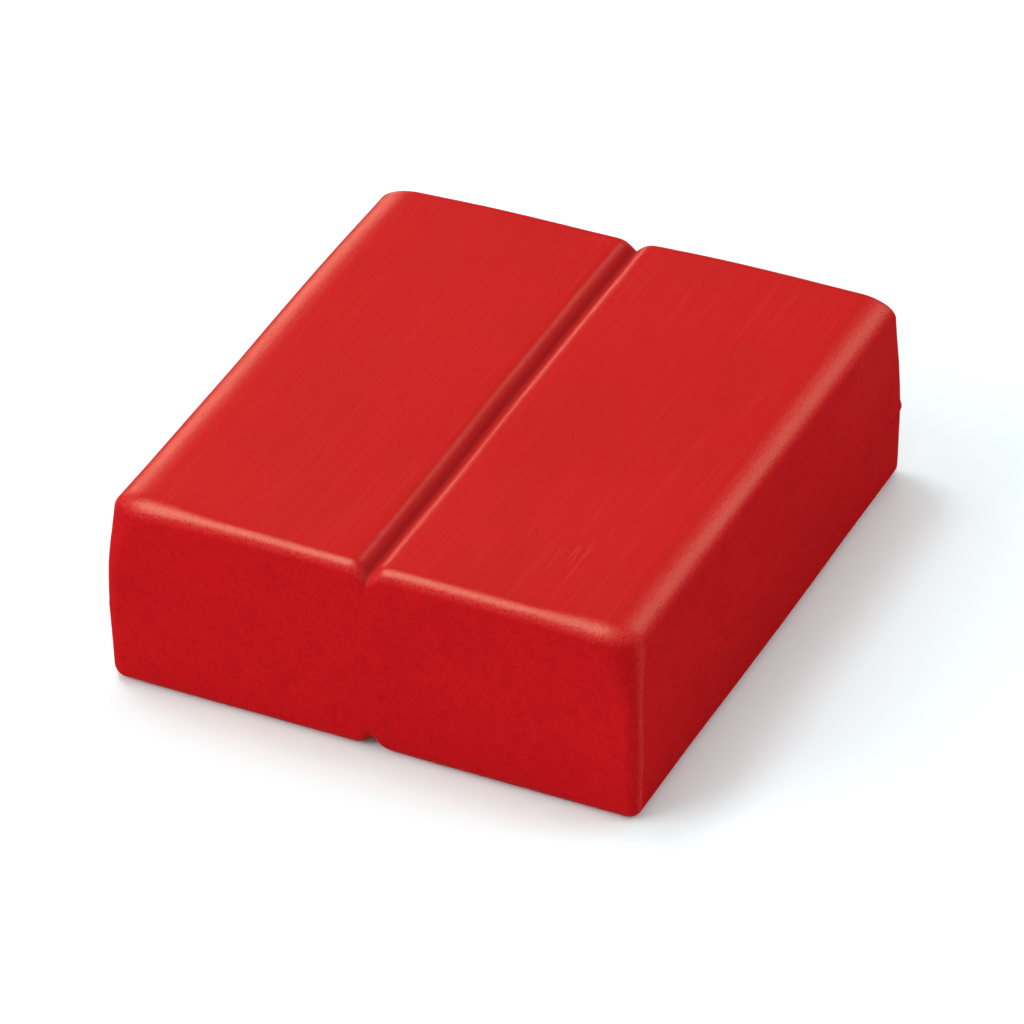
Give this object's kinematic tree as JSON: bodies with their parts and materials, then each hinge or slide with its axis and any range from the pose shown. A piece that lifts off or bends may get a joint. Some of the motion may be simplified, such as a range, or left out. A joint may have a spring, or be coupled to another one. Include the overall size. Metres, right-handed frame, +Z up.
{
  "type": "grooved chalk block",
  "caption": "Low rectangular block of pressed red chalk with rounded edges and a V-shaped groove across the top and the base, along which it snaps into equal halves.",
  "frame": {"origin": "centre of the base, on the surface that the block stands on, on the plane where its halves meet", "axes": "+Z up; +Y along the grooves, the block's long way; +X across the grooves, from the left half to the right half"},
  "size_m": [0.0604, 0.0684, 0.022],
  "materials": {
    "red_chalk": "matte"
  },
  "bodies": {
    "left_half": {"left_half": "red_chalk"},
    "right_half": {"right_half": "red_chalk"}
  },
  "joints": [
    {"name": "snap_apart", "type": "slide", "parent": "left_half", "child": "right_half", "axis": [1, 0, 0], "range_m": [0, 0.03]}
  ]
}
